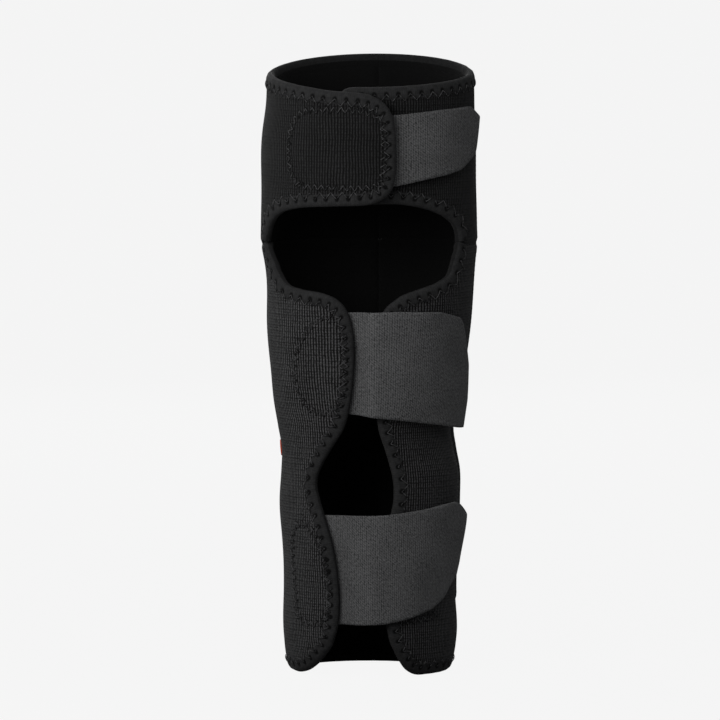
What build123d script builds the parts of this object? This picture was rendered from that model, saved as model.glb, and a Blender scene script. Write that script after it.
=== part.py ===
"""Universal wrist splint: a padded sleeve for hand and forearm that closes at the front with overlapping
flaps and three hook-and-loop straps, stiffened by a palm stay in a pocket and by two side stays.

Frame: +Z runs from the forearm hem to the hand rim, -Y is the closure side, +Y the palm side, and the
origin is on the ground below the middle of the splint. Millimetres. Angles go round the sleeve's section
from the middle of the closure side, positive towards +X.
"""

import os
from math import asin, cos, degrees, radians, sin

from build123d import *

# Lengths along the arm
forearm_length = 156.0  # hem to the seam that joins forearm panel and hand band
hand_length = 62.0  # seam to rim, at the sleeve's sides
rim_rise = 0.14  # the rim climbs by this much per millimetre towards the palm
wrist_drop = 72.0  # the narrowest place is this far below the seam

# Half widths and half depths of the sleeve's outer skin
forearm_half_width, forearm_half_depth = 31.6, 28.0
wrist_half_width, wrist_half_depth = 32.0, 27.0
hand_half_width, hand_half_depth = 39.0, 29.5
hem_tuck = 2.5  # the hem is drawn in by this much

# Layers of the wrap
laminate = 2.2  # knit face and foam
lining = 0.8
binding_width = 4.4
binding_swell = 0.3  # the binding stands this far over the faces that it edges
clearance = 0.35  # between pieces of different bodies

# Flaps: the left front of the sleeve is cut free along a straight line and folds outwards there
fold_depth = 11.0  # the fold lies this far in front of the sleeve's middle
fold_gap = 0.6
flap_end = 20.5  # angle of the hand flap's free end
band_end = -12.0  # angle of the band end that lies under it
flap_corner = 9.0
flap_drop = 2.0  # the hand flap's rim is this much lower than the band's
flap_rim_slope = 0.1  # and climbs by this much per millimetre towards the fold
opening_half_height = 15.5  # thumb opening, above and below the seam

# Straps
strap_thickness = 1.3
hook_thickness = 0.8
strap_corner = 7.0  # cut off both corners of a free end
strap_end_depth = 3.0  # the free ends reach this far behind the sleeve's middle
hook_length = 24.0
hook_margin = 2.0
hinge_gap = 1.0  # a strap peels from here on
narrow_strap, wide_strap = 26.0, 40.0
# Each strap's middle height in front, its rise towards the free end, and the angles of its front stretch
hand_strap_height, hand_strap_rise, hand_root_angle = 35.5, 3.5, -36.0
wrist_strap_drop, wrist_strap_rise = 42.5, -2.5
wrist_root_angle, wrist_leave, wrist_land = -42.0, -1.5, 8.5
forearm_strap_height, forearm_strap_rise = 39.0, 4.0
forearm_root_angle, forearm_leave, forearm_land = -52.0, -14.0, 13.0

# Palm stay, with its tips and pocket
stay_width, stay_thickness = 22.0, 1.6
stay_play = 0.3
tip_length, tip_wall = 9.0, 0.5
pocket_cloth, pocket_margin = 0.8, 3.5
pocket_above_hem, pocket_below_rim = 12.0, 16.0

# Side stays and the channels that hold them
side_stay_width, side_stay_thickness = 6.0, 0.8
channel_cloth, channel_margin = 0.5, 2.0
channel_end = 24.0  # from hem and rim
side_stay_depth = 12.0  # behind the sleeve's middle

# Woven side tab
tab_length, tab_height, tab_thickness = 11.0, 6.0, 0.5
tab_drop = 75.0  # its middle below the seam

# Worked out from the sizes above
wall = laminate + lining
skin_to_strap = clearance + hook_thickness
strap_face = skin_to_strap + strap_thickness
flap_lean = (strap_face + wall) / cos(radians(flap_end)) ** 2
pocket_face = stay_thickness + 2 * (tip_wall + stay_play) + pocket_cloth
front_reach = flap_lean + binding_swell
back_face = hand_half_depth + (front_reach - pocket_face) / 2  # the palm side of the skin is straight
middle = back_face - hand_half_depth
fold_y = middle - fold_depth
seam_height = forearm_length
rim_height = forearm_length + hand_length
wrist_height = seam_height - wrist_drop
opening_top = seam_height + opening_half_height
opening_bottom = seam_height - opening_half_height
hand_strap_z = seam_height + hand_strap_height
wrist_strap_z = seam_height - wrist_strap_drop
forearm_strap_z = forearm_strap_height
relief_z = (wrist_strap_z + forearm_strap_z) / 2 - 9.0
far = 200.0  # longer than anything that a cutting block has to pass

stations = [  # height, half width, half depth
    (0.0, forearm_half_width - hem_tuck, forearm_half_depth - hem_tuck / 2),
    (11.0, forearm_half_width, forearm_half_depth),
    (wrist_height - 21.0, wrist_half_width + 0.8, wrist_half_depth + 0.6),
    (wrist_height, wrist_half_width, wrist_half_depth),
    (wrist_height + 26.0, (wrist_half_width + hand_half_width) / 2, wrist_half_depth + 1.0),
    (seam_height, hand_half_width, hand_half_depth),
    (rim_height - 30.0, hand_half_width, hand_half_depth),
    (rim_height + 20.0, hand_half_width - 1.5, hand_half_depth - 0.5),
]


def section(height):
    """Half width and half depth of the skin at a height, straight between the stations."""
    for (low, w0, d0), (high, w1, d1) in zip(stations, stations[1:]):
        if height <= high:
            share = max(0.0, height - low) / (high - low)
            return w0 + (w1 - w0) * share, d0 + (d1 - d0) * share
    return stations[-1][1:]


def around(angle, height, out=0.0, lean=0.0):
    """The point of the sleeve's section at an angle and a height, moved out from the skin."""
    width, depth = section(height)
    turn = radians(angle)
    return (width + out) * sin(turn), back_face - depth - (depth + lean + out) * cos(turn)


def front(angle, height):
    """The same point of the skin seen from the front: across, and up."""
    return around(angle, height)[0], height


def at_x(x, height, out):
    """The point of the front at x, moved out from the skin."""
    return around(degrees(asin(x / (section(height)[0] + out))), height, out)


def volume(out=0.0, lean=0.0):
    """The sleeve's outer form as a solid, with its skin moved out, and its front half made deeper by lean."""
    with BuildPart() as made:
        for height, width, depth in stations:
            with BuildSketch(Plane.XY.offset(height)):
                with Locations((0, back_face - depth)):
                    Ellipse(width + out, depth + lean + out)
        loft(ruled=True)
    return made.part


def block(low, high):
    """A box between two corners."""
    with BuildPart() as made:
        with Locations(tuple((a + b) / 2 for a, b in zip(low, high))):
            Box(*[b - a for a, b in zip(low, high)])
    return made.part


def rim_cut(drop, depth=far):
    """A slab of some depth that lies on the slanting rim, lowered by drop."""
    rim = Plane(origin=(0, middle, rim_height - drop), x_dir=(1, 0, 0), z_dir=(0, -rim_rise, 1))
    with BuildPart() as made:
        with BuildSketch(rim):
            Rectangle(far, far)
        extrude(amount=depth)
    return made.part


front_plane = Plane.XZ.offset(-middle)


def front_prism(face, border=0.0):
    """A front outline, widened by border, as a prism through the sleeve's front half."""
    with BuildPart() as made:
        with BuildSketch(front_plane):
            add(face)
            if border:
                offset(amount=border)
        extrude(amount=far)
    return made.part


def gap_prism(border=0.0, steps=72):
    """The thumb opening and the gap below it, widened by border on the fabric's side."""
    with BuildLine() as line:
        edge = Spline(gap_points)
    moved = []
    for step in range(steps + 1):
        run = edge % (step / steps)
        moved.append(edge @ (step / steps) + Vector(-run.Y, run.X) * border)
    with BuildPart() as made:
        with BuildSketch(front_plane):
            with BuildLine():
                side = Spline(moved if border else gap_points)
                Line(side @ 1, side @ 0)
            make_face()
        extrude(amount=far)
    return made.part


def strap_prism(height, width, rise, start_x, inset=0.0):
    """A strap's outline seen from the side, as a prism from start_x to the right."""
    front_y = middle - hand_half_depth
    end_y = middle + strap_end_depth - inset
    slope = rise / (end_y - front_y)
    low, high = height - width / 2 + inset, height + width / 2 - inset
    reach = 2.0 * hand_half_depth

    def point(y, z):
        return y, z + slope * (y - front_y)

    with BuildPart() as made:
        with BuildSketch(Plane.YZ.offset(start_x)):
            with BuildLine():
                Polyline(
                    point(middle - reach, low),
                    point(end_y - strap_corner, low),
                    point(end_y, low + strap_corner),
                    point(end_y, high - strap_corner),
                    point(end_y - strap_corner, high),
                    point(middle - reach, high),
                    close=True,
                )
            make_face()
        extrude(amount=far)
    return made.part


# Front outlines
gap_points = [  # from the left flap's hem up its edge, round the thumb opening and down the right edge
    front(-52, -2.0),
    front(-27, 6.0),
    front(-16, forearm_strap_z - 18.0),
    front(-20, forearm_strap_z + 3.0),
    front(-34, relief_z),
    front(-12, wrist_strap_z - 23.0),
    front(-4, wrist_strap_z + 1.0),
    front(-9, wrist_strap_z + 18.0),
    front(-30, opening_bottom - 2.0),
    front(-59, opening_bottom + 3.5),
    front(-72, seam_height + 1.0),
    front(-57, opening_top - 4.5),
    front(-24, opening_top - 0.5),
    front(16, opening_top + 0.5),
    front(51, opening_top - 4.5),
    front(63, seam_height + 3.0),
    front(54, opening_bottom + 5.0),
    front(30, opening_bottom - 0.5),
    front(14, wrist_strap_z + 19.0),
    front(11, wrist_strap_z),
    front(13, wrist_strap_z - 23.0),
    front(25, relief_z - 2.0),
    front(17, forearm_strap_z + 4.0),
    front(16, forearm_strap_z - 18.0),
    front(25, 6.0),
    front(52, -2.0),
]
flap_top = rim_height - rim_rise * hand_half_depth - flap_drop
flap_x = front(flap_end, hand_strap_z)[0]
with BuildSketch() as flap_sketch:  # hand flap, down to the seam
    with BuildLine():
        Polyline(
            (-far / 2, flap_top + flap_rim_slope * far / 2),
            (0, flap_top),
            (flap_x, flap_top),
            (flap_x, opening_top + 0.5),
            (0, opening_top + 0.5),
            (-5, seam_height),
            (-far / 2, seam_height),
            close=True,
        )
    make_face()
    corners = flap_sketch.vertices().filter_by_position(Axis.X, flap_x - 1, flap_x + 1)
    fillet(corners, radius=flap_corner)

gap, bordered_gap = gap_prism(), gap_prism(binding_width)
flap_form = front_prism(flap_sketch.sketch) - gap
flap_inside = front_prism(flap_sketch.sketch, -binding_width) - bordered_gap

# Skins that the layers lie between
skin, foam_face, inner_face = volume(), volume(-laminate), volume(-wall)
bound_out = volume(binding_swell)
hook_in, strap_in, strap_out = volume(clearance), volume(skin_to_strap), volume(strap_face)
lean_skin, lean_foam = volume(0.0, flap_lean), volume(-laminate, flap_lean)
lean_inner, lean_root = volume(-wall, flap_lean), volume(-wall - strap_thickness, flap_lean)
lean_bound_out = volume(binding_swell, flap_lean)

# Regions
above_seam = block((-far, -far, seam_height), (far, far, 2 * far))
below_seam = block((-far, -far, -far), (far, far, seam_height))
left_front = block((-far, -far, -far), (1.5, fold_y, 2 * far))
flap_side = block((-far, -far, -far), (1.5, fold_y - fold_gap, 2 * far))
hand_front = block((-far, -far, seam_height), (around(band_end, hand_strap_z)[0], fold_y, 2 * far))
behind_fold = block((-far, fold_y - fold_gap, -far), (far, far, 2 * far))
hem_strip = block((-far, -far, -far), (far, far, binding_width))
above_rim, bound_rim = rim_cut(0.0), rim_cut(binding_width)


# The sleeve itself: palm side, right side and the right front
with BuildPart() as forearm_panel:
    add(skin)
    for cut in (foam_face, above_seam, left_front, bordered_gap, hem_strip):
        add(cut, mode=Mode.SUBTRACT)

with BuildPart() as forearm_lining:
    add(foam_face)
    for cut in (inner_face, above_seam, left_front, bordered_gap, hem_strip):
        add(cut, mode=Mode.SUBTRACT)

with BuildPart() as forearm_binding:
    with BuildPart(mode=Mode.PRIVATE) as edge_zone:
        add(bordered_gap)
        add(hem_strip)
    add(bound_out)
    for cut in (inner_face, above_seam, left_front, gap, block((-far, -far, -far), (far, far, 0))):
        add(cut, mode=Mode.SUBTRACT)
    add(edge_zone.part, mode=Mode.INTERSECT)

with BuildPart() as hand_band:
    add(skin)
    for cut in (foam_face, below_seam, hand_front, bordered_gap, bound_rim):
        add(cut, mode=Mode.SUBTRACT)

with BuildPart() as hand_lining:
    add(foam_face)
    for cut in (inner_face, below_seam, hand_front, bordered_gap, bound_rim):
        add(cut, mode=Mode.SUBTRACT)

with BuildPart() as hand_binding:
    with BuildPart(mode=Mode.PRIVATE) as edge_zone:
        add(bordered_gap)
        add(bound_rim)
    add(bound_out)
    for cut in (inner_face, below_seam, hand_front, gap, above_rim):
        add(cut, mode=Mode.SUBTRACT)
    add(edge_zone.part, mode=Mode.INTERSECT)

# Left forearm flap
with BuildPart() as forearm_flap_panel:
    add(skin)
    for cut in (foam_face, above_seam, bordered_gap, hem_strip):
        add(cut, mode=Mode.SUBTRACT)
    add(flap_side, mode=Mode.INTERSECT)

with BuildPart() as forearm_flap_lining:
    add(foam_face)
    for cut in (inner_face, above_seam, bordered_gap, hem_strip):
        add(cut, mode=Mode.SUBTRACT)
    add(flap_side, mode=Mode.INTERSECT)

with BuildPart() as forearm_flap_binding:
    with BuildPart(mode=Mode.PRIVATE) as edge_zone:
        add(bordered_gap)
        add(hem_strip)
    add(bound_out)
    for cut in (inner_face, above_seam, gap, block((-far, -far, -far), (far, far, 0))):
        add(cut, mode=Mode.SUBTRACT)
    add(flap_side, mode=Mode.INTERSECT)
    add(edge_zone.part, mode=Mode.INTERSECT)

# Hand flap
with BuildPart() as hand_flap_panel:
    add(lean_skin)
    for cut in (lean_foam, behind_fold):
        add(cut, mode=Mode.SUBTRACT)
    add(flap_inside, mode=Mode.INTERSECT)

with BuildPart() as hand_flap_lining:
    add(lean_foam)
    for cut in (lean_inner, behind_fold):
        add(cut, mode=Mode.SUBTRACT)
    add(flap_inside, mode=Mode.INTERSECT)

with BuildPart() as hand_flap_binding:
    add(lean_bound_out)
    for cut in (lean_inner, behind_fold, flap_inside):
        add(cut, mode=Mode.SUBTRACT)
    add(flap_form, mode=Mode.INTERSECT)


# Straps
def strap_body(height, width, rise, start_x):
    """A strap from start_x round the right side to its free end."""
    with BuildPart() as made:
        add(strap_out)
        add(strap_in, mode=Mode.SUBTRACT)
        add(strap_prism(height, width, rise, start_x), mode=Mode.INTERSECT)
    return made.part


def strap_hook(height, width, rise):
    """The hook patch inside a strap's free end."""
    start_y = middle + strap_end_depth - hook_margin - hook_length
    with BuildPart() as made:
        add(strap_in)
        add(hook_in, mode=Mode.SUBTRACT)
        add(strap_prism(height, width, rise, 0.0, hook_margin), mode=Mode.INTERSECT)
        add(block((0, start_y, -far), (far, far, 2 * far)), mode=Mode.INTERSECT)
    return made.part


def crossing(height, width, leave, land_x):
    """The stretch that climbs from inside the left flap's edge to the skin of the right front."""
    with BuildPart() as made:
        for level in (height - width / 2, height, height + width / 2):
            with BuildSketch(Plane.XY.offset(level)):
                with BuildLine():
                    Polyline(
                        around(leave - 1.5, level, -wall - strap_thickness),
                        around(leave - 1.5, level, -wall),
                        around(leave, level, -wall),
                        at_x(land_x, level, strap_face),
                        at_x(land_x, level, skin_to_strap),
                        around(leave, level, -wall - strap_thickness),
                        close=True,
                    )
                make_face()
        loft(ruled=True)
    return made.part


def strap_root(height, width, root_angle, leave, land_x):
    """The sewn end of a strap inside the left forearm flap, with the stretch that crosses the gap."""
    low, high = height - width / 2, height + width / 2
    left_x, right_x = [around(angle, height, -wall)[0] for angle in (root_angle, leave)]
    with BuildPart() as made:
        add(inner_face)
        add(volume(-wall - strap_thickness), mode=Mode.SUBTRACT)
        add(block((left_x, -far, low), (right_x, middle, high)), mode=Mode.INTERSECT)
        add(crossing(height, width, leave, land_x))
    return made.part


wrist_land_x = front(wrist_land, wrist_strap_z)[0]
forearm_land_x = front(forearm_land, forearm_strap_z)[0]
hand_start = flap_x + hinge_gap
wrist_start = wrist_land_x + hinge_gap
forearm_start = forearm_land_x + hinge_gap

with BuildPart() as hand_strap:
    add(strap_body(hand_strap_z, narrow_strap, hand_strap_rise, hand_start))

with BuildPart() as wrist_strap:
    add(strap_body(wrist_strap_z, wide_strap, wrist_strap_rise, wrist_start))

with BuildPart() as forearm_strap:
    add(strap_body(forearm_strap_z, wide_strap, forearm_strap_rise, forearm_start))

with BuildPart() as hand_strap_hook:
    add(strap_hook(hand_strap_z, narrow_strap, hand_strap_rise))

with BuildPart() as wrist_strap_hook:
    add(strap_hook(wrist_strap_z, wide_strap, wrist_strap_rise))

with BuildPart() as forearm_strap_hook:
    add(strap_hook(forearm_strap_z, wide_strap, forearm_strap_rise))

with BuildPart() as hand_strap_root:
    root_low, root_high = hand_strap_z - narrow_strap / 2, hand_strap_z + narrow_strap / 2
    add(lean_inner)
    add(lean_root, mode=Mode.SUBTRACT)
    root_x = around(hand_root_angle, hand_strap_z)[0]
    add(block((root_x, -far, root_low), (flap_x, middle, root_high)), mode=Mode.INTERSECT)
    add(flap_form, mode=Mode.INTERSECT)
    add(lean_inner, mode=Mode.INTERSECT)

with BuildPart() as wrist_strap_root:
    add(strap_root(wrist_strap_z, wide_strap, wrist_root_angle, wrist_leave, wrist_land_x))

with BuildPart() as forearm_strap_root:
    add(strap_root(forearm_strap_z, wide_strap, forearm_root_angle, forearm_leave, forearm_land_x))

# Palm stay
pocket_low = pocket_above_hem
pocket_high = rim_height - pocket_below_rim
tip_thickness = stay_thickness + 2 * tip_wall
tip_width = stay_width + 2 * tip_wall
stay_y = back_face + stay_play + tip_thickness / 2
stay_low = pocket_low + pocket_margin + stay_play + tip_wall
stay_high = pocket_high - pocket_margin - tip_wall
stay_middle = (stay_low + stay_high) / 2

with BuildPart() as stay_pocket:
    width = tip_width + 2 * (stay_play + pocket_margin)
    with BuildSketch(Plane.XZ.offset(-back_face - pocket_face)):
        with Locations((0, (pocket_low + pocket_high) / 2)):
            RectangleRounded(width, pocket_high - pocket_low, pocket_margin)
    extrude(amount=pocket_face + hand_half_depth / 2)
    add(skin, mode=Mode.SUBTRACT)
    hollow = tip_width / 2 + stay_play
    add(
        block(
            (-hollow, 0, pocket_low + pocket_margin),
            (hollow, back_face + tip_thickness + 2 * stay_play, 2 * far),
        ),
        mode=Mode.SUBTRACT,
    )

with BuildPart() as stay_bar:
    with BuildSketch(Plane.XZ.offset(-stay_y - stay_thickness / 2)):
        with Locations((0, stay_middle)):
            SlotOverall(stay_high - stay_low, stay_width, rotation=90)
    extrude(amount=stay_thickness)


def stay_tip(low, high):
    """The plastic tip dipped over one round end of the stay bar."""
    with BuildPart() as made:
        with BuildSketch(Plane.XZ.offset(-stay_y - tip_thickness / 2)):
            with Locations((0, stay_middle)):
                SlotOverall(stay_high - stay_low + 2 * tip_wall, tip_width, rotation=90)
        extrude(amount=tip_thickness)
        add(block((-far, -far, low), (far, far, high)), mode=Mode.INTERSECT)
        add(stay_bar.part, mode=Mode.SUBTRACT)
    return made.part


with BuildPart() as stay_top_tip:
    add(stay_tip(stay_high - tip_length, far * 2))

with BuildPart() as stay_bottom_tip:
    add(stay_tip(-far, stay_low + tip_length))

# Side stays, each in its own channel
side_stay_out = volume(side_stay_thickness)
channel_out = volume(side_stay_thickness + channel_cloth)


def side_strip(side, half_width, inset):
    """The block that a side stay or its channel is cut from."""
    y = middle + side_stay_depth
    ends = sorted((0, side * far))
    return block(
        (ends[0], y - half_width, channel_end + inset),
        (ends[1], y + half_width, rim_height - channel_end - inset),
    )


def side_stay(side):
    """A flat spring stay that follows the skin."""
    with BuildPart() as made:
        add(side_stay_out)
        add(skin, mode=Mode.SUBTRACT)
        add(side_strip(side, side_stay_width / 2, channel_margin), mode=Mode.INTERSECT)
    return made.part


def side_channel(side):
    """The tape that holds a side stay against the skin."""
    with BuildPart() as made:
        add(channel_out)
        add(skin, mode=Mode.SUBTRACT)
        add(side_strip(side, side_stay_width / 2 + channel_margin, 0.0), mode=Mode.INTERSECT)
        add(side_stay(side), mode=Mode.SUBTRACT)
    return made.part


with BuildPart() as left_side_stay:
    add(side_stay(-1))

with BuildPart() as right_side_stay:
    add(side_stay(1))

with BuildPart() as left_channel:
    add(side_channel(-1))

with BuildPart() as right_channel:
    add(side_channel(1))

with BuildPart() as side_tab:
    tab_z = seam_height - tab_drop
    add(volume(tab_thickness))
    add(skin, mode=Mode.SUBTRACT)
    add(
        block(
            (-far, middle - tab_length / 2, tab_z - tab_height / 2),
            (0, middle + tab_length / 2, tab_z + tab_height / 2),
        ),
        mode=Mode.INTERSECT,
    )

pieces = {
    "forearm_panel": forearm_panel,
    "forearm_lining": forearm_lining,
    "forearm_binding": forearm_binding,
    "hand_band": hand_band,
    "hand_lining": hand_lining,
    "hand_binding": hand_binding,
    "forearm_flap_panel": forearm_flap_panel,
    "forearm_flap_lining": forearm_flap_lining,
    "forearm_flap_binding": forearm_flap_binding,
    "hand_flap_panel": hand_flap_panel,
    "hand_flap_lining": hand_flap_lining,
    "hand_flap_binding": hand_flap_binding,
    "hand_strap_root": hand_strap_root,
    "wrist_strap_root": wrist_strap_root,
    "forearm_strap_root": forearm_strap_root,
    "hand_strap": hand_strap,
    "wrist_strap": wrist_strap,
    "forearm_strap": forearm_strap,
    "hand_strap_hook": hand_strap_hook,
    "wrist_strap_hook": wrist_strap_hook,
    "forearm_strap_hook": forearm_strap_hook,
    "stay_pocket": stay_pocket,
    "stay_bar": stay_bar,
    "stay_top_tip": stay_top_tip,
    "stay_bottom_tip": stay_bottom_tip,
    "left_side_stay": left_side_stay,
    "right_side_stay": right_side_stay,
    "left_channel": left_channel,
    "right_channel": right_channel,
    "side_tab": side_tab,
}

os.makedirs("parts", exist_ok=True)
for name, piece in pieces.items():
    piece.part.label = name
    export_step(piece.part, f"parts/{name}.step")
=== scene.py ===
"""Wrist splint: the looks of the padded sleeve, its flaps, edge bindings, stitching, straps and stays.

Sizes are in millimetres and angles in degrees round the sleeve, 0 at the middle of the closure side and
positive towards +X. Every cloth piece is drawn flat as angle and height and then laid on the sleeve's form.
"""

import bpy
import numpy as np
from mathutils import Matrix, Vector, geometry
from mathutils.kdtree import KDTree


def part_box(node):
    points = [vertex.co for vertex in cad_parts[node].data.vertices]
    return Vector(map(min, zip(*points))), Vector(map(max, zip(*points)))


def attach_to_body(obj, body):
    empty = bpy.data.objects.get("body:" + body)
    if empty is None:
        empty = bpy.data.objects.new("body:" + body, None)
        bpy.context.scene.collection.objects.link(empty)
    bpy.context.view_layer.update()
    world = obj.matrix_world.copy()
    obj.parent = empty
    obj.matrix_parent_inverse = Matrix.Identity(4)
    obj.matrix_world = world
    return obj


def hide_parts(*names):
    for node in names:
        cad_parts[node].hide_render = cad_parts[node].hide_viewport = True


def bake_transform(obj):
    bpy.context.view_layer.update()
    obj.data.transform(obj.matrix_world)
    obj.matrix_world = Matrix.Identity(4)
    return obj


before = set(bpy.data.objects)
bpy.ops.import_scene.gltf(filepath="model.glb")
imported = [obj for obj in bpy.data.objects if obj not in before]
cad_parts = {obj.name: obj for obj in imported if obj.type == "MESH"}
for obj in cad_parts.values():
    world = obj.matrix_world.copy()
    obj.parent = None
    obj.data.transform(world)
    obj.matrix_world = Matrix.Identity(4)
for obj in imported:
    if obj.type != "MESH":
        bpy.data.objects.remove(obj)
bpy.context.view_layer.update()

MM = 0.001
FLAT = 0.58  # millimetres of cloth to a degree

# The sleeve
SEAM, RIM = 156.0, 218.0  # heights of the joining seam, and of the rim at the sides
RIM_RISE = 0.14
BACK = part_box("forearm_panel")[1].y / MM  # the palm side of the skin
MIDDLE = BACK - 29.5
LEAN = 6.2  # the hand flap lies this much further forward
WALL, LAMINATE = 3.0, 2.2
BINDING = 4.7
TAPE = 1.3  # strap thickness

# height, half width and half depth of the skin, and how far the cloth has slipped sideways
STATIONS = np.array([
    (0.0, 29.3, 26.8, -0.3),
    (5.0, 30.8, 27.5, -0.2),
    (12.0, 31.7, 28.0, -0.1),
    (30.0, 31.3, 28.0, -0.6),
    (48.0, 32.0, 27.8, -0.6),
    (63.0, 32.7, 27.6, -0.7),
    (73.0, 32.5, 27.3, -0.5),
    (81.0, 31.4, 27.0, -1.3),
    (89.0, 31.2, 27.2, -2.7),
    (100.0, 34.2, 27.6, -1.7),
    (112.0, 35.4, 28.0, -1.5),
    (126.0, 36.9, 28.6, -0.7),
    (146.0, 38.0, 29.2, 0.1),
    (156.0, 38.9, 29.5, -0.2),
    (180.0, 39.0, 29.5, -0.9),
    (196.0, 38.9, 29.5, -0.9),
    (208.0, 38.2, 29.2, -0.3),
    (228.0, 37.6, 29.0, 0.0),
])


# --- Form ---------------------------------------------------------------------------------------------


def smooth(height, column, table=STATIONS):
    """A station column at any height, smooth through its values."""
    heights, values = table[:, 0], table[:, column]
    slopes = np.gradient(values, heights)
    i = np.clip(np.searchsorted(heights, height) - 1, 0, len(heights) - 2)
    span = heights[i + 1] - heights[i]
    t = np.clip((height - heights[i]) / span, 0, 1)
    rise = values[i] * (1 + 2 * t) * (1 - t) ** 2 + values[i + 1] * t * t * (3 - 2 * t)
    return rise + span * (slopes[i] * t * (1 - t) ** 2 + slopes[i + 1] * t * t * (t - 1))


def ripple(angle, height):
    """The unevenness of cloth that stands by itself, in millimetres outwards."""
    a, h = np.radians(angle), height / 10
    free = np.clip((108 - np.abs(angle)) / 25, 0, 1)  # stays hold the sides and the back
    waves = 0.28 * np.sin(3 * a + 0.45 * h) + 0.2 * np.sin(5 * a - 0.7 * h + 1) + 0.16 * np.sin(1.9 * h + 2 * a)
    seam = 0.3 * np.exp(-(((height - SEAM) / 4.0) ** 2)) - 0.5 * np.exp(-(((height - SEAM) / 1.1) ** 2))
    return free * waves + seam


def skin(angle, height, out=0.0, lean=0.0, loose=1.0):
    """Points of the sleeve's form, moved out from its skin."""
    angle, height = np.asarray(angle, float), np.asarray(height, float)
    width, depth = smooth(height, 1), smooth(height, 2)
    turn = np.radians(angle)
    out = out + loose * ripple(angle, height)
    reach = depth + out + lean * (np.cos(turn) > 0)
    slip = smooth(height, 3) * np.sin(turn) ** 2 * np.clip((130 - np.abs(angle)) / 40, 0, 1)
    x = (width + out) * np.sin(turn) + slip
    y = BACK - depth - reach * np.cos(turn)
    return np.stack(np.broadcast_arrays(x, y, height), -1)


def sleeve(angle, height, out=0.0):
    return skin(angle, height, out)


def flap(angle, height, out=0.0):
    return skin(angle, height, out, LEAN)


def rim(angle, drop=0.0):
    """The height of the rim at an angle."""
    across = skin(angle, np.full(np.shape(angle), RIM), loose=0.0)
    ahead = across[..., 1] - MIDDLE
    return RIM + RIM_RISE * np.minimum(ahead, 0) + (RIM_RISE + 0.055) * np.maximum(ahead, 0) - drop


def through(points, spacing=0.6):
    """A smooth line through a few flat points, evenly sampled. Points are angle and height."""
    points = np.array(points, float)
    scale = np.array([FLAT, 1.0])
    flat = points * scale
    ends = np.vstack([2 * flat[0] - flat[1], flat, 2 * flat[-1] - flat[-2]])
    line = []
    for a, b, c, d in zip(ends, ends[1:], ends[2:], ends[3:]):
        t = np.linspace(0, 1, 40, endpoint=False)[:, None]
        line.append(0.5 * (2 * b + (c - a) * t + (2 * a - 5 * b + 4 * c - d) * t**2 + (3 * b - a - 3 * c + d) * t**3))
    line = np.vstack([*line, flat[-1:]])
    return evenly(line / scale, spacing)


def evenly(line, spacing):
    """The same line with its points a set distance apart."""
    line = np.asarray(line, float)
    steps = np.hypot(np.diff(line[:, 0]) * FLAT, np.diff(line[:, 1]))
    run = np.concatenate([[0], np.cumsum(steps)])
    count = max(2, int(round(run[-1] / spacing)) + 1)
    at = np.linspace(0, run[-1], count)
    return np.column_stack([np.interp(at, run, line[:, 0]), np.interp(at, run, line[:, 1])])


def along_rim(start, end, drop=0.0):
    """The rim as a flat line from one angle to another."""
    angles = np.linspace(start, end, max(3, int(abs(end - start))))
    return np.column_stack([angles, rim(angles, drop)])


def beside(form, line, out=0.0):
    """What one millimetre to the left of a line is, as angle and height, and the line's length so far."""
    points = form(line[:, 0], line[:, 1], out)
    step = 0.4
    across = (form(line[:, 0] + step, line[:, 1], out) - form(line[:, 0] - step, line[:, 1], out)) / (2 * step)
    up = (form(line[:, 0], line[:, 1] + step, out) - form(line[:, 0], line[:, 1] - step, out)) / (2 * step)
    normal = np.cross(across, up)
    normal /= np.linalg.norm(normal, axis=1)[:, None]
    run = np.gradient(points, axis=0)
    run /= np.linalg.norm(run, axis=1)[:, None]
    left = np.cross(normal, run)
    turn = (left * across).sum(1) / (across**2).sum(1)
    climb = (left * up).sum(1) / (up**2).sum(1)
    length = np.concatenate([[0], np.cumsum(np.linalg.norm(np.diff(points, axis=0), axis=1))])
    return np.column_stack([turn, climb]), length


# --- Mesh building ------------------------------------------------------------------------------------


def new_piece(name, points, faces, material, flat=None):
    """A mesh object from points in millimetres, smooth shaded, with its flat place as a UV map."""
    mesh = bpy.data.meshes.new(name)
    mesh.from_pydata((np.asarray(points) * MM).tolist(), [], faces)
    if flat is not None:
        layer = mesh.uv_layers.new(name="flat")
        order = np.empty(len(mesh.loops), int)
        mesh.loops.foreach_get("vertex_index", order)
        layer.data.foreach_set("uv", np.asarray(flat, float)[order].ravel())
    mesh.validate()
    mesh.shade_smooth()
    piece = bpy.data.objects.new(name, mesh)
    bpy.context.scene.collection.objects.link(piece)
    mesh.materials.append(material)
    return piece


def triangles(outline, spacing):
    """Points and triangles that fill a flat outline, and the outline's own points, which come first."""
    scale = np.array([FLAT, 1.0])
    edge = evenly(np.vstack([outline, outline[:1]]), spacing)[:-1] * scale
    low, high = edge.min(0), edge.max(0)
    rows = np.arange(low[1], high[1], spacing * 0.87)
    inside = []
    for number, v in enumerate(rows):
        u = np.arange(low[0] + (number % 2) * spacing / 2, high[0], spacing)
        inside.append(np.column_stack([u, np.full(len(u), v)]))
    inside = np.vstack(inside)
    keep = within(edge, inside)
    inside = inside[keep]
    near = KDTree(len(edge))
    for i, p in enumerate(edge):
        near.insert((p[0], p[1], 0), i)
    near.balance()
    clear = [near.find((p[0], p[1], 0))[2] > spacing * 0.55 for p in inside]
    inside = inside[np.array(clear, bool)]
    points = np.vstack([edge, inside])
    ring = list(range(len(edge)))
    made = geometry.delaunay_2d_cdt([Vector(p) for p in points], [], [ring], 1, 1e-6)
    coords = np.array([tuple(v) for v in made[0]]) / scale
    return coords, [tuple(f) for f in made[2]]


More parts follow.
